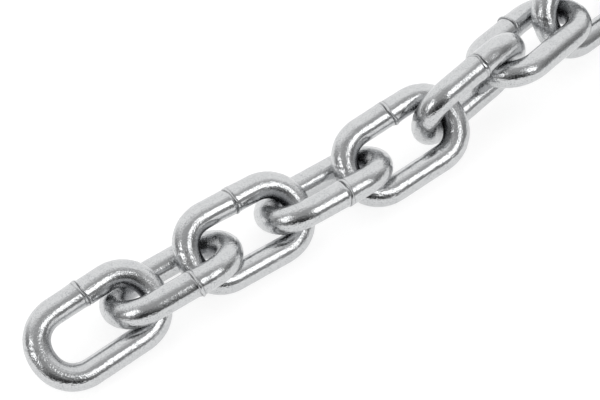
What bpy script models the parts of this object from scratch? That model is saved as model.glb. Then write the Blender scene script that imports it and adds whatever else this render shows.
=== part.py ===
"""A half-metre length of welded short-link steel chain, lying on a level floor.

Every link is one piece of round wire, bent to a long ring and butt welded in the middle of one side.
It passes through the ring before it, so each link is a separate solid that hangs on its neighbour.
Units are metres, +Z is up, and the floor is z = 0. The chain runs off along +X and its end curls back.
"""

import math

import bpy
import numpy as np
from mathutils import Euler, Matrix, Vector

# Driving dimensions of the wire and of one link
WIRE_DIAMETER = 0.008
LINK_PITCH = 0.0282
LINK_INNER_WIDTH = 0.0117
LINK_COUNT = 18
SEAT_GAP = 0.0004

# The crown is a superellipse: 2 is a half circle, and a bent link is a little squarer than that
CROWN_FULLNESS = 2.12
CROWN_STEPS = 8

# The upset where the two ends of the wire are welded
WELD_SWELL = 1.05
WELD_HALF_LENGTH = 0.0012
WELD_RUN_OUT = 0.0014

# The wire's section has 12 sides, set out so that its area is that of the round wire
SECTION_RESOLUTION = 4
SECTION_SIDES = 4 + 2 * SECTION_RESOLUTION
SECTION_RADIUS = WIRE_DIAMETER / 2 * math.sqrt(
    2 * math.pi / (SECTION_SIDES * math.sin(2 * math.pi / SECTION_SIDES))
)

# How the first links lie: heading, roll about the link's own length and nose-up tilt in degrees, then
# how far the link is held off the floor and how far its near crown sits left of the crown before it.
LAID_LINKS = (
    (0.0, 29.5, 1.0, 0.0, 0.0),
    (-6.5, 149.5, 4.0, 0.0001, 0.0007),
    (-2.5, 34.5, -3.0, 0.0, 0.0016),
    (-4.5, 146.5, 0.0, 0.0, -0.0002),
    (-3.5, 33.0, 5.5, 0.0004, -0.0003),
    (4.0, 100.0, 7.0, 0.0, 0.0009),
    (10.5, -17.0, -6.0, 0.0064, -0.0004),
    (3.5, 51.0, -2.5, 0.0, -0.001),
)

# After them the chain lies in a steady curl, which ends when it points back along the first links
STEADY_ROLLS = (135.0, 45.0)
CURL_END_HEADING = -180.0

# Half the length and half the width of the ring that the wire's centreline makes
HALF_LENGTH = (LINK_PITCH + WIRE_DIAMETER) / 2
HALF_WIDTH = (LINK_INNER_WIDTH + WIRE_DIAMETER) / 2
HALF_STRAIGHT = HALF_LENGTH - HALF_WIDTH

# How finely a link's centreline is read where two links are set against each other
SEAT_STEPS = 24
SEAT_SEARCH_STEP = 0.0001


def clear_scene():
    for old in list(bpy.data.objects):
        bpy.data.objects.remove(old, do_unlink=True)


def crown_points(side, steps):
    """Half a superellipse at the +X end (side 1) or the -X end (side -1), run anticlockwise."""
    points = []
    for step in range(steps + 1):
        angle = math.pi * (step / steps - 0.5)
        along = abs(math.cos(angle)) ** (2 / CROWN_FULLNESS)
        across = math.copysign(abs(math.sin(angle)) ** (2 / CROWN_FULLNESS), angle)
        points.append(
            (side * (HALF_STRAIGHT + HALF_WIDTH * along), side * HALF_WIDTH * across)
        )
    return points


def weld_points():
    """The swelling at the weld, as (x, y, swell), run from +X to -X along the +Y side."""
    run_out = WELD_HALF_LENGTH + WELD_RUN_OUT
    return [
        (run_out, HALF_WIDTH, 1.0),
        (WELD_HALF_LENGTH, HALF_WIDTH, WELD_SWELL),
        (-WELD_HALF_LENGTH, HALF_WIDTH, WELD_SWELL),
        (-run_out, HALF_WIDTH, 1.0),
    ]


def link_route(steps):
    """The ring of wire, as (x, y, swell) in the link's own plane, its length along X."""
    right = [(x, y, 1.0) for x, y in crown_points(1, steps)]
    left = [(x, y, 1.0) for x, y in crown_points(-1, steps)]
    return right + weld_points() + left


def make_link_mesh():
    """Bevels the closed route into round wire, and keeps the result as a mesh."""
    route = link_route(CROWN_STEPS)
    curve = bpy.data.curves.new("link_wire", "CURVE")
    curve.dimensions = "3D"
    curve.twist_mode = "Z_UP"
    curve.bevel_depth = SECTION_RADIUS
    curve.bevel_resolution = SECTION_RESOLUTION
    spline = curve.splines.new("POLY")
    spline.points.add(len(route) - 1)
    for point, (x, y, swell) in zip(spline.points, route):
        point.co = (x, y, 0.0, 1.0)
        point.radius = swell
    spline.use_cyclic_u = True
    bent = bpy.data.objects.new("link_wire", curve)
    bpy.context.scene.collection.objects.link(bent)
    graph = bpy.context.evaluated_depsgraph_get()
    mesh = bpy.data.meshes.new_from_object(bent.evaluated_get(graph))
    bpy.data.objects.remove(bent, do_unlink=True)
    mesh.name = "link"
    mesh.shade_smooth()
    return mesh


def mesh_points(mesh):
    points = np.empty(len(mesh.vertices) * 3)
    mesh.vertices.foreach_get("co", points)
    return points.reshape(-1, 3)


def turn_of(heading, roll, tilt):
    """The link's rotation: rolled about its own length, its nose lifted, then turned on the floor."""
    angles = (math.radians(roll), -math.radians(tilt), math.radians(heading))
    return Euler(angles, "XYZ").to_matrix()


def link_attitudes():
    """Heading, roll, tilt, lift and drift of every link, as in LAID_LINKS."""
    attitudes = list(LAID_LINKS)
    start = LAID_LINKS[-1][0]
    curled = LINK_COUNT - len(LAID_LINKS)
    for number in range(1, curled + 1):
        heading = start + (CURL_END_HEADING - start) * number / curled
        roll = STEADY_ROLLS[(number - 1) % 2]
        attitudes.append((heading, roll, 0.0, 0.0, 0.0))
    return attitudes


def loop_gap(first, second):
    """The least distance between two closed lines, each a row of points."""
    run = np.roll(second, -1, axis=0) - second
    away = first[:, None] - second[None]
    share = np.clip((away * run).sum(2) / (run**2).sum(1), 0.0, 1.0)
    return math.sqrt(((away - share[..., None] * run) ** 2).sum(2).min())


def seated_centre(line, turn, height, drift, placed_line, placed_turn, placed_centre):
    """Where a link's centre comes to when it is drawn out along the chain.

    The two crowns start overlapped and are drawn towards each other until the wires are SEAT_GAP apart.
    """
    ahead = Vector(turn.col[0])
    behind = Vector(placed_turn.col[0])
    pull = Vector((ahead.x + behind.x, ahead.y + behind.y, 0.0)).normalized()
    left = Vector((-pull.y, pull.x, 0.0))
    crown = placed_centre + behind * HALF_LENGTH + left * drift
    drawn = WIRE_DIAMETER / 2
    while True:
        centre = crown - pull * drawn + ahead * HALF_LENGTH
        centre.z = height
        if loop_gap(line + np.array(centre), placed_line) >= WIRE_DIAMETER + SEAT_GAP:
            return centre
        drawn += SEAT_SEARCH_STEP
        if drawn > 2 * WIRE_DIAMETER:
            raise ValueError("two links are twisted too far to pass through each other")


def lay_chain(mesh):
    """The matrix of each link, each set over the floor and seated on the one before it."""
    outline = mesh_points(mesh)
    route = np.array([(x, y, 0.0) for x, y, _ in link_route(SEAT_STEPS)])
    matrices = []
    placed = None
    for heading, roll, tilt, lift, drift in link_attitudes():
        turn = turn_of(heading, roll, tilt)
        turned = np.array(turn).T
        height = lift - (outline @ turned)[:, 2].min()
        line = route @ turned
        if placed is None:
            centre = Vector((0.0, 0.0, height))
        else:
            centre = seated_centre(line, turn, height, drift, *placed)
        placed = (line + np.array(centre), turn, centre)
        matrices.append(Matrix.Translation(centre) @ turn.to_4x4())
    return matrices


def centring_shift(mesh, matrices):
    """The move that puts the middle of the chain's floor plan on the origin."""
    outline = np.c_[mesh_points(mesh), np.ones(len(mesh.vertices))]
    points = np.concatenate([outline @ np.array(matrix).T for matrix in matrices])
    low, high = points.min(axis=0), points.max(axis=0)
    middle = (low + high) / 2
    return Matrix.Translation((-middle[0], -middle[1], -low[2]))


def make_zinc_plated_steel():
    """Bright zinc on mild steel: a light grey metal with a soft gloss."""
    material = bpy.data.materials.new("zinc_plated_steel")
    material.use_nodes = True
    shader = material.node_tree.nodes["Principled BSDF"]
    shader.inputs["Base Color"].default_value = (0.66, 0.66, 0.67, 1.0)
    shader.inputs["Metallic"].default_value = 1.0
    shader.inputs["Roughness"].default_value = 0.22
    return material


def make_chain():
    chain = bpy.data.collections.new("steel_chain")
    bpy.context.scene.collection.children.link(chain)
    mesh = make_link_mesh()
    mesh.materials.append(make_zinc_plated_steel())
    matrices = lay_chain(mesh)
    shift = centring_shift(mesh, matrices)
    for number, matrix in enumerate(matrices, start=1):
        link = bpy.data.objects.new(f"link_{number:02d}", mesh)
        link.matrix_world = shift @ matrix
        chain.objects.link(link)


def main():
    clear_scene()
    make_chain()


if __name__ == "__main__":
    main()
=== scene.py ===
"""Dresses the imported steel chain: each welded link as bent round wire with its weld, in bright zinc.

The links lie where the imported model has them, and each rides on its own body.
Lengths are in metres. A distance along the wire is measured round the ring, from the weld.
"""

import math

import bpy
import numpy as np
from bpy.props import FloatProperty, FloatVectorProperty, IntProperty, PointerProperty
from bpy.types import Operator, Panel, PropertyGroup
from mathutils import Matrix, Vector


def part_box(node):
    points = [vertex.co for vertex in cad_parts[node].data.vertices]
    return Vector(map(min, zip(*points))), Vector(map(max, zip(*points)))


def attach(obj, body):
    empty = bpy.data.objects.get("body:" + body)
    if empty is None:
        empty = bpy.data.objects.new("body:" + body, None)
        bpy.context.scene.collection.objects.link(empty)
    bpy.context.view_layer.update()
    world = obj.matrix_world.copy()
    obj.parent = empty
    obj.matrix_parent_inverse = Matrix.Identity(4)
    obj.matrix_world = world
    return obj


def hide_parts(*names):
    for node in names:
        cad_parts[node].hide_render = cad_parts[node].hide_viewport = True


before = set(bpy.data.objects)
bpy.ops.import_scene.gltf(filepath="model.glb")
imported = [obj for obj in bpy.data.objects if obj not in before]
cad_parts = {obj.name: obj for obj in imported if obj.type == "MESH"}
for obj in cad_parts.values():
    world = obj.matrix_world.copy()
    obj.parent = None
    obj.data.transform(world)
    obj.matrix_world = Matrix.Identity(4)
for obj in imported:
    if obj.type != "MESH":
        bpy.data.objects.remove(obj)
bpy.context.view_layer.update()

bl_info = {
    "name": "Welded steel chain",
    "version": (1, 0, 0),
    "blender": (4, 5, 0),
    "location": "3D View > Sidebar > Chain",
    "description": "Dresses a length of zinc-plated welded chain and sets up its studio",
    "category": "Object",
}

MM = 0.001

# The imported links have 12-sided wire whose area is that of the round wire
CAD_SIDES = 12
CORNER_TO_ROUND = math.sqrt(CAD_SIDES * math.sin(2 * math.pi / CAD_SIDES) / (2 * math.pi))
CROWN_FULLNESS = 2.12

# Points at which a link's centreline is worked out, and the power by which its rows gather at the weld
ROUTE_SAMPLES = 4096
ROW_GATHERING = 0.6

# The waves in a wire's surface: how many, and between which numbers they lie along and round the wire
WAVES = 26
WAVES_ALONG = (2, 22)
WAVES_ROUND = (0, 5)

# Range of the place and roughness, as in SEEN_WELDS, of a weld that the photograph doesn't show, and the
# seed of the first link's random numbers
WELD_SEED = 100
HIDDEN_WELD_SHIFT = (-3, 4)
HIDDEN_WELD_STRENGTH = (0.7, 1.2)

# The weld's bead lies on the side of the next link, but on every fifth link it lies on the other side
BEAD_TURNED_EVERY = 5

# Lengths of the weld's shape in millimetres: how far the groove strays in one, two and five waves round
# the wire, how soft the bead's near and far edges are, how far the swelling reaches, and the length over
# which the wire's ends step out of line and that over which the step fades
GROOVE_STRAY = (0.45, 0.2, 0.1)
BEAD_EDGES = (0.12, 0.2)
UPSET_REACH = 2.6
STEP_LENGTHS = (0.3, 4.0)

# How uneven the weld is round the wire: a mean share, and how much it goes up and down
GROOVE_SHARE = (0.62, 0.38)
BEAD_SHARE = (0.55, 0.45)
UPSET_SHARE = (0.6, 0.4)
BEAD_WIDTH_SHARE = 0.25

# The fainter groove at the bead's far edge: its width and depth against the seam's, and how strong it is
FAR_GROOVE_WIDTH = 0.8
FAR_GROOVE_DEPTH = 0.5
FAR_GROOVE_STRENGTH = 1.25

# The bending tool's nick, in millimetres along the wire and radians round it: how far it lies from the
# crown, how far it slants, where it lies round the wire, and its half width and half span. The lip beside
# it has its own distance, width and span, and a share of the nick's depth as its height.
NICK_PLACE = 3.2
NICK_SLANT = 1.5
NICK_TURN = 0.9
NICK_SIZE = (0.22, 0.45)
LIP_AWAY = 0.5
LIP_SIZE = (0.3, 0.5)
LIP_SHARE = 0.6

# How uneven the straight bars are against the crowns, and how much of its thinning across the bend a
# crown gains the other way
BAR_UNEVENNESS = 0.45
CROWN_WIDENING = 0.4

# The die lines that wire drawing leaves are this much shorter in their pattern than on the wire, and the
# pattern is this many millimetres further on for each link
DRAWN_SHORTENING = 0.24
PATTERN_SPACING = 40

# How dark the grooves and the nick are against the seam
FAR_GROOVE_DIRT = 0.6
NICK_DIRT = 0.8

# The plating is dull where its two noises together are high: the share of the finer noise, how much finer
# than the grain it is, and the sums at which the plating starts to be dull and is wholly so
SPECK_SHARE = 0.35
SPECK_FINENESS = 1.3
DULL_RANGE = (0.66, 0.92)
BORE_DULLNESS = 0.5
SEAM_ROUGHNESS = 0.6

# Places in the room's colours, from behind the chain (0) through overhead to in front of it (1), and how
# far to the side the room starts to be darker (1 is level with the floor)
ROOM_STOPS = (0.32, 0.53, 0.80, 0.975)
SIDE_START = 0.7

# Sawn opal acrylic is matt
TABLE_ROUGHNESS = 0.8

# The camera is aimed beside the fourth link, which is in the middle of the photograph
AIMED_LINK = "link_04"

# The two soft lamps stand to the camera's right and left: width and height, and then how far to the
# right of the aimed point, towards the camera and above the floor, all in metres
SOFT_LAMPS = (
    ("right_softbox", (0.48, 0.68), (0.67, 0.59, 0.80)),
    ("left_softbox", (0.57, 0.57), (-0.83, 0.49, 0.72)),
)

# The welds that the photograph shows: how far each lies from the middle of its bar, towards the next
# link, in millimetres, and how rough it is
SEEN_WELDS = ((1.3, 1.0), (3.7, 1.0), (0.4, 1.15), (2.0, 0.9), (1.5, 1.0), (3.9, 1.25), (2.0, 1.35))


def linear(code):
    """Linear light of an sRGB colour written as #RRGGBB."""
    share = np.array([int(code[place : place + 2], 16) for place in (1, 3, 5)]) / 255
    low = share / 12.92
    high = ((share + 0.055) / 1.055) ** 2.4
    return tuple(float(value) for value in np.where(share <= 0.04045, low, high))


def shade(name, description, code):
    return FloatVectorProperty(
        name=name,
        description=description,
        default=linear(code),
        subtype="COLOR",
        size=3,
        min=0.0,
        max=1.0,
    )


def length(name, description, millimetres):
    return FloatProperty(
        name=name,
        description=description,
        default=millimetres * MM,
        unit="LENGTH",
        precision=5,
    )


class ChainWireSettings(PropertyGroup):
    rows_along: IntProperty(
        name="Rows along",
        description="Rows of points along the wire of one link",
        default=264,
        min=64,
    )
    points_round: IntProperty(
        name="Points round",
        description="Points round the wire's section",
        default=72,
        min=12,
    )
    weld_rows: FloatProperty(
        name="Rows at the weld",
        description="How much closer the rows are at the weld than elsewhere",
        default=5.0,
        min=1.0,
    )
    unevenness: length("Unevenness", "How far the bent wire's surface wanders from round", 0.03)
    crown_thinning: FloatProperty(
        name="Crown thinning",
        description="Share by which the wire is thinner across the bend",
        default=0.03,
        subtype="FACTOR",
    )
    seam_depth: length("Seam depth", "Depth of the groove where the wire's ends meet", 0.40)
    seam_width: length("Seam width", "Half width of that groove", 0.20)
    bead_height: length("Bead height", "Height of the trimmed bead of metal beside the groove", 0.26)
    bead_width: length("Bead width", "Width of that bead", 0.95)
    upset_height: length("Upset height", "How much thicker the wire is beside the weld", 0.18)
    end_step: length("End step", "How far the two ends are out of line", 0.18)
    nick_depth: length("Nick depth", "Depth of the bending tool's mark on the outer crown", 0.12)


class ChainZincSettings(PropertyGroup):
    bright: shade("Bright zinc", "Colour of the smooth plating", "#CBCCCD")
    dull: shade("Dull zinc", "Colour of the pits and rubbed specks in the plating", "#B0B2B4")
    seam: shade("Seam", "Colour of the scale and dirt in the weld's groove", "#47474A")
    # Painted shade: this colour darkens the inside of each crown, where the next link's wire meets it and
    # shade falls.
    bore_shade: shade("Bore", "Colour of the thin plating inside the crowns", "#828386")
    smooth: FloatProperty(
        name="Smooth roughness",
        description="Roughness of the bright plating",
        default=0.135,
        subtype="FACTOR",
    )
    rough: FloatProperty(
        name="Dull roughness",
        description="Roughness of the dull plating",
        default=0.34,
        subtype="FACTOR",
    )
    grain: length("Grain", "Size of the grain in the plating, coarse enough to show", 0.48)
    die_lines: length("Die lines", "Breadth of the lines that wire drawing leaves", 0.6)
    die_height: length("Die line height", "Height of those lines", 0.085)
    mottle: length("Mottle", "Size of the dull patches in the plating", 2.2)
    grain_height: length("Grain height", "Height of the grain", 0.062)


class ChainStageSettings(PropertyGroup):
    floor: shade("Floor", "Colour of the floor", "#AAAAAA")
    floor_glow: FloatProperty(
        name="Floor glow",
        description="Light that the lit floor gives off by itself",
        default=0.76,
    )
    floor_size: length("Floor size", "Side of the floor", 6000.0)
    behind: shade("Room behind", "Colour of the room behind the chain", "#FFFFFF")
    overhead: shade("Room overhead", "Colour of the room over the chain", "#B6B6B6")
    in_front: shade("Room in front", "Colour of the room above the camera", "#A2A2A2")
    low_down: shade("Room low down", "Colour of the room low down in front", "#282828")
    room_strength: FloatProperty(
        name="Room strength",
        description="How bright the room's colours are",
        default=1.12,
    )
    side_share: FloatProperty(
        name="Light from the sides",
        description="How bright the room's sides are against the rest",
        default=0.45,
        subtype="FACTOR",
    )
    lamp_power: FloatProperty(
        name="Lamp power",
        description="Power of each of the two soft lamps",
        default=1.8,
        unit="POWER",
    )
    lens: length("Lens", "Focal length of the camera", 108.0)
    distance: length("Camera distance", "From the camera to the point it is aimed at", 530.3)
    aim_left: length("Aim left", "Aimed point beside the fourth link's middle", -3.7)
    aim_back: length("Aim back", "Aimed point behind the fourth link's middle", 7.37)
    elevation: FloatProperty(
        name="Elevation",
        description="How far the camera looks down",
        default=math.radians(53.07),
        subtype="ANGLE",
    )
    bearing: FloatProperty(
        name="Bearing",
        description="Direction the camera looks in, turned from +Y towards +X",
        default=math.radians(32.07),
        subtype="ANGLE",
    )
    roll: FloatProperty(
        name="Roll",
        description="How far the camera's right side is lowered",
        default=math.radians(6.1),
        subtype="ANGLE",
    )


def node_points(name):
    """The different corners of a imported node's mesh."""
    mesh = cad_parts[name].data
    points = np.empty(len(mesh.vertices) * 3)
    mesh.vertices.foreach_get("co", points)
    return np.unique(points.reshape(-1, 3).round(7), axis=0)


def link_place(points, towards):
    """Middle, axes and half sizes of a packed link.

    The axes are those in which the corners spread most, less and least. The first points towards the
    next link, and the second towards the weld, where the corners lie closest.
    """
    mean = points.mean(axis=0)
    spread = np.linalg.eigh(np.cov((points - mean).T))[1]
    ahead = spread[:, 2] * np.sign(spread[:, 2] @ towards)
    side = spread[:, 1]
    along = (points - mean) @ ahead
    tip = points[along.argmax()]
    middle = mean + ahead * (along.max() + along.min()) / 2
    middle = middle + side * ((tip - middle) @ side)
    side = side * np.sign((mean - middle) @ side)
    axes = np.array([ahead, side, np.cross(ahead, side)])
    local = (points - middle) @ axes.T
    corner_radius = local[local[:, 1] < 0, 2].max()
    half_length = local[:, 0].max() - corner_radius
    half_width = -local[:, 1].min() - corner_radius
    return middle, axes, half_length, half_width, corner_radius * CORNER_TO_ROUND


def ring_route(half_length, half_width, samples):
    """The wire's centreline as (x, y) rows that start at the weld in the middle of the +Y side.

    Each end is half a superellipse, |x|^n + |y|^n = 1 stretched to the half width, and straight bars join
    the two ends. The route runs anticlockwise, so first towards -X.
    """
    turn = np.linspace(0.5 * math.pi, 2.5 * math.pi, samples, endpoint=False)
    power = 2 / CROWN_FULLNESS
    cosine, sine = np.cos(turn), np.sin(turn)
    x = np.sign(cosine) * np.abs(cosine) ** power * half_width
    y = np.sign(sine) * np.abs(sine) ** power * half_width
    straight = half_length - half_width
    ends = np.where(cosine < 0, -straight, straight)
    ends[0] = 0.0
    ends[samples // 2] = 0.0
    return x + ends, y


def evenly_along(x, y, rows, weld_rows, weld_shift):
    """Rows set along the closed route, closer at the weld, as (distance, x, y, run of the wire).

    The distance s runs from -half to +half of the wire's length, with the weld at 0, and the weld lies
    weld_shift ahead of the bar's middle. The distance is a power of an even parameter, so that the rows
    at the weld are weld_rows times closer than the mean.
    """
    closed_x, closed_y = np.append(x, x[0]), np.append(y, y[0])
    steps = np.hypot(np.diff(closed_x), np.diff(closed_y))
    travelled = np.append(0.0, np.cumsum(steps))
    whole = travelled[-1]
    even = np.linspace(-1.0, 1.0, rows, endpoint=False)
    distance = whole / 2 * (even / weld_rows + (1 - 1 / weld_rows) * even * np.abs(even) ** ROW_GATHERING)
    place = np.mod(distance - weld_shift, whole)
    return distance, np.interp(place, travelled, closed_x), np.interp(place, travelled, closed_y), whole


def wire_waves(distance, around, whole, seed):
    """A wandering surface: the sum of cosine waves that close on themselves along and round the wire.

    A wave is the weaker, the more often it goes up and down, and the squares of all weights add up to 1.
    """
    chance = np.random.default_rng(seed)
    along = chance.integers(*WAVES_ALONG, WAVES)
    turns = chance.integers(*WAVES_ROUND, WAVES)
    phase = chance.uniform(0, 2 * math.pi, WAVES)
    weight = 1 / np.hypot(along / 6, turns + 0.6)
    weight = weight / np.sqrt((weight**2).sum())
    angle = (
        2 * math.pi * along * (distance / whole)[..., None]
        + turns * around[..., None]
        + phase
    )
    return (np.cos(angle) * weight).sum(axis=-1)


def weld_relief(wire, s, turn, side, lean, step_turn):
    """How far the weld stands out of the wire, and how deep its two grooves are as shares of 1.

    A groove is a bell curve along the wire, and strays along it in sine waves round the wire. The bead is
    the difference of two smooth steps, one at the groove and one at the bead's far edge, where the second
    groove lies. The swelling is a wider bell curve. Each is uneven round the wire by a product of sines.
    """
    once, twice, often = GROOVE_STRAY
    wander = once * np.sin(turn + step_turn) + twice * np.sin(2 * turn + lean) + often * np.sin(5 * turn)
    from_seam = s - wander * MM
    mean, change = GROOVE_SHARE
    fading = mean + change * np.sin(2 * turn + 3 * lean) * np.cos(turn - step_turn)
    groove = np.exp(-((from_seam / wire.seam_width) ** 2)) * fading
    bead_side = from_seam * side
    bead_edge = bead_side - wire.bead_width * (1 + BEAD_WIDTH_SHARE * np.sin(3 * turn + lean))
    far_groove = np.exp(-((bead_edge / (FAR_GROOVE_WIDTH * wire.seam_width)) ** 2))
    far_groove = far_groove * (FAR_GROOVE_STRENGTH - fading)
    near_edge, far_edge = BEAD_EDGES
    bead = (np.tanh(bead_side / (near_edge * MM)) - np.tanh(bead_edge / (far_edge * MM))) / 2
    mean, change = BEAD_SHARE
    bead = bead * (mean + change * np.sin(2 * turn - step_turn) * np.cos(3 * turn))
    mean, change = UPSET_SHARE
    upset = np.exp(-((s / (UPSET_REACH * MM)) ** 2)) * (mean + change * np.tanh(side * s / MM))
    relief = (
        wire.upset_height * upset
        + wire.bead_height * bead
        - wire.seam_depth * (groove + FAR_GROOVE_DEPTH * far_groove)
    )
    return relief, groove, far_groove


def nick_relief(to_place, turn):
    """Depth of the nick and height of its lip, each a bell curve along the wire and round it."""
    slanted = to_place + NICK_SLANT * MM * np.sin(turn - NICK_TURN)
    width, span = NICK_SIZE
    nick = np.exp(-((slanted / (width * MM)) ** 2) - ((turn - NICK_TURN) / span) ** 2)
    width, span = LIP_SIZE
    beside = slanted - LIP_AWAY * MM
    lip = np.exp(-((beside / (width * MM)) ** 2) - ((turn - NICK_TURN) / span) ** 2)
    return nick, lip


def link_surface(place, wire, number):
    """The skin of one link as a grid of points, and what the plating needs to know about each.

    A circle is carried along the ring. Its radius is the wire's, less at the crowns across the bend and
    changed at the weld by its relief. The two ends are out of line: the circle's middle jumps at the weld
    and comes back over a few millimetres. A short nick lies across the near crown. Waves that close on
    themselves wander over the whole, more at the crowns than on the bars.
    """
    middle, axes, half_length, half_width, radius = place
    x, y = ring_route(half_length, half_width, ROUTE_SAMPLES)
    chance = np.random.default_rng(WELD_SEED + number)
    weld_shift, strength = chance.uniform(*HIDDEN_WELD_SHIFT), chance.uniform(*HIDDEN_WELD_STRENGTH)
    if number < len(SEEN_WELDS):
        weld_shift, strength = SEEN_WELDS[number]
    distance, x, y, whole = evenly_along(x, y, wire.rows_along, wire.weld_rows, weld_shift * MM)
    run_x = np.roll(x, -1) - np.roll(x, 1)
    run_y = np.roll(y, -1) - np.roll(y, 1)
    run = np.hypot(run_x, run_y)
    out_x, out_y = run_y / run, -run_x / run
    around = np.linspace(0, 2 * math.pi, wire.points_round, endpoint=False)
    s, turn = np.meshgrid(distance, around, indexing="ij")
    lean, step_turn = chance.uniform(-1, 1), chance.uniform(0, 2 * math.pi)
    side = -1.0 if number % BEAD_TURNED_EVERY else 1.0

    weld, groove, far_groove = weld_relief(wire, s, turn, side, lean, step_turn)
    nick, lip = nick_relief(whole / 4 - NICK_PLACE * MM - s + weld_shift * MM, turn)
    crown = np.clip((np.abs(x) - (half_length - half_width)) / half_width, 0, 1)[:, None]
    bend = BAR_UNEVENNESS + (1 - BAR_UNEVENNESS) * np.sqrt(crown)
    reach = radius + wire.unevenness * bend * wire_waves(s, turn, whole, number)
    reach = reach + strength * weld + wire.nick_depth * (LIP_SHARE * lip - nick)
    thin = 1 - wire.crown_thinning * crown
    wide = 1 + CROWN_WIDENING * wire.crown_thinning * crown
    rise, fade = STEP_LENGTHS
    jump = wire.end_step * strength * np.tanh(s / (rise * MM)) * np.exp(-np.abs(s) / (fade * MM))
    outward = reach * np.cos(turn) * thin + jump * math.cos(step_turn)
    upward = reach * np.sin(turn) * wide + jump * math.sin(step_turn)
    local = np.stack(
        [x[:, None] + outward * out_x[:, None], y[:, None] + outward * out_y[:, None], upward], axis=-1
    )
    points = middle + local @ axes
    ring_radius = DRAWN_SHORTENING * whole / (2 * math.pi)
    around_ring = 2 * math.pi * s / whole
    unrolled = np.stack(
        [
            (ring_radius + radius * np.cos(turn)) * np.cos(around_ring),
            (ring_radius + radius * np.cos(turn)) * np.sin(around_ring),
            radius * np.sin(turn) + number * PATTERN_SPACING * MM,
        ],
        axis=-1,
    )
    numbers = {
        "seam": np.clip(groove + FAR_GROOVE_DIRT * far_groove + NICK_DIRT * nick, 0, 1),
        # Mask of the painted shade inside each crown, strongest at its innermost line; it also makes the
        # plating there rougher.
        "bore_shade": np.clip(-np.cos(turn), 0, 1) ** 2 * crown,
        "bend": np.broadcast_to(bend, s.shape),
    }
    return points, numbers, unrolled


def grid_mesh(name, points):
    """A mesh of square faces over a grid that closes on itself both ways."""
    rows, columns = points.shape[:2]
    index = np.arange(rows * columns).reshape(rows, columns)
    ahead, beside = np.roll(index, -1, axis=0), np.roll(index, -1, axis=1)
    both = np.roll(ahead, -1, axis=1)
    faces = np.stack([index, beside, both, ahead], axis=-1).reshape(-1, 4)
    mesh = bpy.data.meshes.new(name)
    mesh.from_pydata(points.reshape(-1, 3), [], faces)
    mesh.shade_smooth()
    return mesh


def add_numbers(mesh, name, values):
    attribute = mesh.attributes.new(name, "FLOAT", "POINT")
    attribute.data.foreach_set("value", np.ascontiguousarray(values, np.float32).ravel())


def add_vectors(mesh, name, values):
    attribute = mesh.attributes.new(name, "FLOAT_VECTOR", "POINT")
    attribute.data.foreach_set("vector", np.ascontiguousarray(values, np.float32).ravel())


def add_node(tree, kind, values=None, links=None, **settings):
    """Adds a node with its settings, the values of its sockets and the links that feed them."""
    node = tree.nodes.new(kind)
    for name, value in settings.items():
        setattr(node, name, value)
    for socket, value in (values or {}).items():
        node.inputs[socket].default_value = value
    for socket, source in (links or {}).items():
        tree.links.new(source, node.inputs[socket])
    return node


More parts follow.
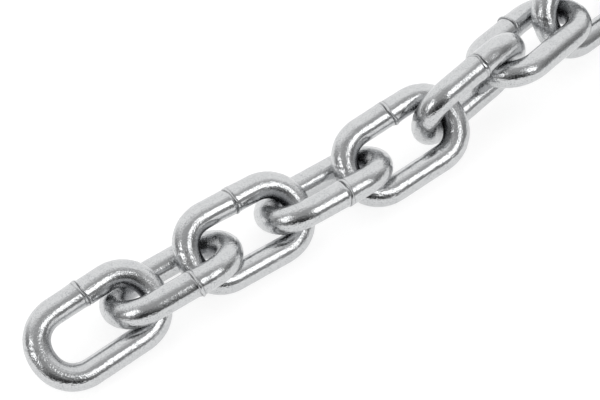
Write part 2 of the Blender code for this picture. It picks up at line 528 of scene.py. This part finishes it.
def make_zinc(zinc):
    """Electroplated zinc on drawn wire: a bright grey metal whose fine grain breaks up what it mirrors.

    The plating is dull in patches and in the bore of each link, where its colour is also darkened as
    painted shade, and the weld's groove holds dark scale.
    The grain of real plating and the lines of wire drawing are a few hundredths of a millimetre across,
    too fine to show, so both are drawn as coarse as they need to be to show.
    """
    material = bpy.data.materials.new("electroplated_zinc")
    material.use_nodes = True
    tree = material.node_tree
    tree.nodes.clear()
    place = add_node(tree, "ShaderNodeTexCoord").outputs["Object"]
    unrolled = add_node(tree, "ShaderNodeAttribute", attribute_name="unrolled").outputs["Vector"]
    seam = add_node(tree, "ShaderNodeAttribute", attribute_name="seam").outputs["Fac"]
    bore_shade = add_node(tree, "ShaderNodeAttribute", attribute_name="bore_shade").outputs["Fac"]
    bend = add_node(tree, "ShaderNodeAttribute", attribute_name="bend").outputs["Fac"]
    patches = add_node(
        tree,
        "ShaderNodeTexNoise",
        {"Scale": 1 / zinc.mottle, "Detail": 4.0, "Roughness": 0.6},
        {"Vector": place},
    )
    specks = add_node(
        tree,
        "ShaderNodeTexNoise",
        {"Scale": SPECK_FINENESS / zinc.grain, "Detail": 1.0, "Roughness": 0.5},
        {"Vector": place},
    )
    both = add_node(
        tree,
        "ShaderNodeMath",
        {1: SPECK_SHARE},
        {0: patches.outputs["Fac"], 2: specks.outputs["Fac"]},
        operation="MULTIPLY_ADD",
    )
    dullness = add_node(
        tree,
        "ShaderNodeMapRange",
        {"From Min": DULL_RANGE[0], "From Max": DULL_RANGE[1]},
        {"Value": both.outputs[0]},
        clamp=True,
    )
    dulled = add_node(
        tree,
        "ShaderNodeMath",
        {1: BORE_DULLNESS},
        {0: bore_shade, 2: dullness.outputs[0]},
        operation="MULTIPLY_ADD",
        use_clamp=True,
    )
    plated = add_node(
        tree,
        "ShaderNodeMix",
        {"A": (*zinc.bright, 1.0), "B": (*zinc.dull, 1.0)},
        {"Factor": dullness.outputs[0]},
        data_type="RGBA",
    )
    # Painted shade: the plating's colour is mixed towards the darker colour inside each crown.
    shaded_plating = add_node(
        tree,
        "ShaderNodeMix",
        {"B": (*zinc.bore_shade, 1.0)},
        {"Factor": bore_shade, "A": plated.outputs["Result"]},
        data_type="RGBA",
    )
    colour = add_node(
        tree,
        "ShaderNodeMix",
        {"B": (*zinc.seam, 1.0)},
        {"Factor": seam, "A": shaded_plating.outputs["Result"]},
        data_type="RGBA",
    )
    roughness = add_node(
        tree,
        "ShaderNodeMapRange",
        {"To Min": zinc.smooth, "To Max": zinc.rough},
        {"Value": dulled.outputs[0]},
    )
    seam_roughness = add_node(
        tree,
        "ShaderNodeMix",
        {"B": SEAM_ROUGHNESS},
        {"Factor": seam, "A": roughness.outputs[0]},
        data_type="FLOAT",
    )
    grain = add_node(
        tree,
        "ShaderNodeTexNoise",
        {"Scale": 1 / zinc.grain, "Detail": 1.0, "Roughness": 0.5},
        {"Vector": place},
    )
    drawn = add_node(
        tree,
        "ShaderNodeTexNoise",
        {"Scale": 1 / zinc.die_lines, "Detail": 2.0, "Roughness": 0.5},
        {"Vector": unrolled},
    )
    coarse_height = add_node(
        tree, "ShaderNodeMath", links={0: drawn.outputs["Fac"], 1: bend}, operation="MULTIPLY"
    )
    coarse_bump = add_node(
        tree,
        "ShaderNodeBump",
        {"Strength": 1.0, "Distance": zinc.die_height},
        {"Height": coarse_height.outputs[0]},
    )
    grain_height = add_node(
        tree, "ShaderNodeMath", links={0: grain.outputs["Fac"], 1: bend}, operation="MULTIPLY"
    )
    grain_bump = add_node(
        tree,
        "ShaderNodeBump",
        {"Strength": 1.0, "Distance": zinc.grain_height},
        {"Height": grain_height.outputs[0], "Normal": coarse_bump.outputs[0]},
    )
    shader = add_node(
        tree,
        "ShaderNodeBsdfPrincipled",
        {"Metallic": 1.0},
        {
            "Base Color": colour.outputs["Result"],
            "Roughness": seam_roughness.outputs["Result"],
            "Normal": grain_bump.outputs[0],
        },
    )
    add_node(tree, "ShaderNodeOutputMaterial", links={"Surface": shader.outputs[0]})
    return material


class CHAIN_OT_dress_links(Operator):
    """Replaces each packed link with a bent and welded link of round wire in zinc"""

    bl_idname = "chain.dress_links"
    bl_label = "Dress the links"

    def execute(self, context):
        wire, zinc = context.scene.chain_wire, context.scene.chain_zinc
        names = sorted(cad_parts)
        points = [node_points(name) for name in names]
        middles = np.array([corners.mean(axis=0) for corners in points])
        towards = np.gradient(middles, axis=0)
        material = make_zinc(zinc)
        for number, name in enumerate(names):
            place = link_place(points[number], towards[number])
            skin, numbers, unrolled = link_surface(place, wire, number)
            mesh = grid_mesh(f"welded_{name}", skin)
            for word, values in numbers.items():
                add_numbers(mesh, word, values)
            add_vectors(mesh, "unrolled", unrolled)
            mesh.materials.append(material)
            piece = bpy.data.objects.new(f"welded_{name}", mesh)
            context.scene.collection.objects.link(piece)
            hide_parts(name)
            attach(piece, name)
        return {"FINISHED"}


def look_turn(bearing, elevation, roll):
    """The rotation of a camera that looks along a bearing, down by an elevation, and is rolled."""
    level = Vector((math.sin(bearing), math.cos(bearing), 0.0))
    look = level * math.cos(elevation) - Vector((0.0, 0.0, math.sin(elevation)))
    right = Vector((math.cos(bearing), -math.sin(bearing), 0.0))
    axes = Matrix((right, right.cross(look), -look)).transposed()
    return look, axes.to_4x4() @ Matrix.Rotation(-roll, 4, "Z")


def aimed_light(context, name, power, size, place, aim):
    light = bpy.data.lights.new(name, "AREA")
    light.energy = power
    light.shape = "RECTANGLE"
    light.size, light.size_y = size
    lamp = bpy.data.objects.new(name, light)
    lamp.location = place
    lamp.rotation_mode = "QUATERNION"
    lamp.rotation_quaternion = (Vector(aim) - Vector(place)).to_track_quat("-Z", "Y")
    context.scene.collection.objects.link(lamp)


def make_lit_table(stage):
    """Opal acrylic, sawn and matt: a lit white table, which keeps shadows on it faint."""
    table = bpy.data.materials.new("opal_acrylic")
    table.use_nodes = True
    shader = table.node_tree.nodes["Principled BSDF"]
    shader.inputs["Base Color"].default_value = (*stage.floor, 1.0)
    shader.inputs["Roughness"].default_value = TABLE_ROUGHNESS
    shader.inputs["Emission Color"].default_value = (1.0, 1.0, 1.0, 1.0)
    shader.inputs["Emission Strength"].default_value = stage.floor_glow
    return table


def make_room(stage, back):
    """The light from all round: pale behind the chain, grey overhead, and dark low down in front of it."""
    world = bpy.data.worlds.new("studio")
    world.use_nodes = True
    tree = world.node_tree
    direction = add_node(tree, "ShaderNodeTexCoord").outputs["Generated"]
    frontward = add_node(
        tree, "ShaderNodeVectorMath", {1: back}, {0: direction}, operation="DOT_PRODUCT"
    )
    place = add_node(
        tree,
        "ShaderNodeMapRange",
        {"From Min": -1.0, "From Max": 1.0},
        {"Value": frontward.outputs["Value"]},
    )
    ramp = add_node(tree, "ShaderNodeValToRGB", links={"Fac": place.outputs[0]})
    colours = (stage.behind, stage.overhead, stage.in_front, stage.low_down)
    elements = ramp.color_ramp.elements
    for number, (position, colour) in enumerate(zip(ROOM_STOPS, colours)):
        stop = elements[number] if number < 2 else elements.new(position)
        stop.position = position
        stop.color = (*colour, 1.0)
    sideward = add_node(
        tree,
        "ShaderNodeVectorMath",
        {1: (-back.y, back.x, 0.0)},
        {0: direction},
        operation="DOT_PRODUCT",
    )
    aside = add_node(
        tree, "ShaderNodeMath", links={0: sideward.outputs["Value"]}, operation="ABSOLUTE"
    )
    share = add_node(
        tree,
        "ShaderNodeMapRange",
        {"From Min": SIDE_START, "From Max": 1.0, "To Min": 1.0, "To Max": stage.side_share},
        {"Value": aside.outputs[0]},
        interpolation_type="SMOOTHSTEP",
    )
    light = add_node(
        tree,
        "ShaderNodeVectorMath",
        links={0: ramp.outputs["Color"], "Scale": share.outputs[0]},
        operation="SCALE",
    )
    tree.links.new(light.outputs[0], tree.nodes["Background"].inputs["Color"])
    tree.nodes["Background"].inputs["Strength"].default_value = stage.room_strength
    return world


class CHAIN_OT_set_stage(Operator):
    """Lays the pale floor and sets the soft lights and the camera"""

    bl_idname = "chain.set_stage"
    bl_label = "Set the stage"

    def execute(self, context):
        stage = context.scene.chain_stage
        low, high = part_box(AIMED_LINK)
        middle = (Vector(low) + Vector(high)) / 2
        aim = Vector((middle.x + stage.aim_left, middle.y + stage.aim_back, 0.0))
        look, turn = look_turn(stage.bearing, stage.elevation, stage.roll)
        camera_data = bpy.data.cameras.new("camera")
        camera_data.lens = stage.lens / MM
        camera_data.clip_start = 0.01
        camera = bpy.data.objects.new("camera", camera_data)
        camera.matrix_world = Matrix.Translation(aim - look * stage.distance) @ turn
        context.scene.collection.objects.link(camera)
        context.scene.camera = camera

        half = stage.floor_size / 2
        corners = [(-half, -half, 0), (half, -half, 0), (half, half, 0), (-half, half, 0)]
        mesh = bpy.data.meshes.new("floor")
        mesh.from_pydata(corners, [], [(0, 1, 2, 3)])
        floor = bpy.data.objects.new("floor", mesh)
        context.scene.collection.objects.link(floor)
        mesh.materials.append(make_lit_table(stage))

        back = -Vector((look.x, look.y, 0.0)).normalized()
        right = Vector((-back.y, back.x, 0.0))
        context.scene.world = make_room(stage, back)
        context.scene.view_settings.view_transform = "Standard"
        for name, size, (beside, near, above) in SOFT_LAMPS:
            place = aim + right * beside + back * near + Vector((0.0, 0.0, above))
            aimed_light(context, name, stage.lamp_power, size, place, aim)
        return {"FINISHED"}


class CHAIN_PT_sidebar(Panel):
    bl_label = "Chain"
    bl_idname = "CHAIN_PT_sidebar"
    bl_space_type = "VIEW_3D"
    bl_region_type = "UI"
    bl_category = "Chain"

    def draw(self, context):
        for settings in ("chain_wire", "chain_zinc", "chain_stage"):
            group = getattr(context.scene, settings)
            box = self.layout.box()
            for word in group.__annotations__:
                box.prop(group, word)
        self.layout.operator(CHAIN_OT_dress_links.bl_idname)
        self.layout.operator(CHAIN_OT_set_stage.bl_idname)


CLASSES = (
    ChainWireSettings,
    ChainZincSettings,
    ChainStageSettings,
    CHAIN_OT_dress_links,
    CHAIN_OT_set_stage,
    CHAIN_PT_sidebar,
)


def register():
    for kind in CLASSES:
        bpy.utils.register_class(kind)
    bpy.types.Scene.chain_wire = PointerProperty(type=ChainWireSettings)
    bpy.types.Scene.chain_zinc = PointerProperty(type=ChainZincSettings)
    bpy.types.Scene.chain_stage = PointerProperty(type=ChainStageSettings)


def unregister():
    del bpy.types.Scene.chain_stage
    del bpy.types.Scene.chain_zinc
    del bpy.types.Scene.chain_wire
    for kind in reversed(CLASSES):
        bpy.utils.unregister_class(kind)


def main():
    register()
    bpy.ops.chain.dress_links()
    bpy.ops.chain.set_stage()


if __name__ == "__main__":
    main()
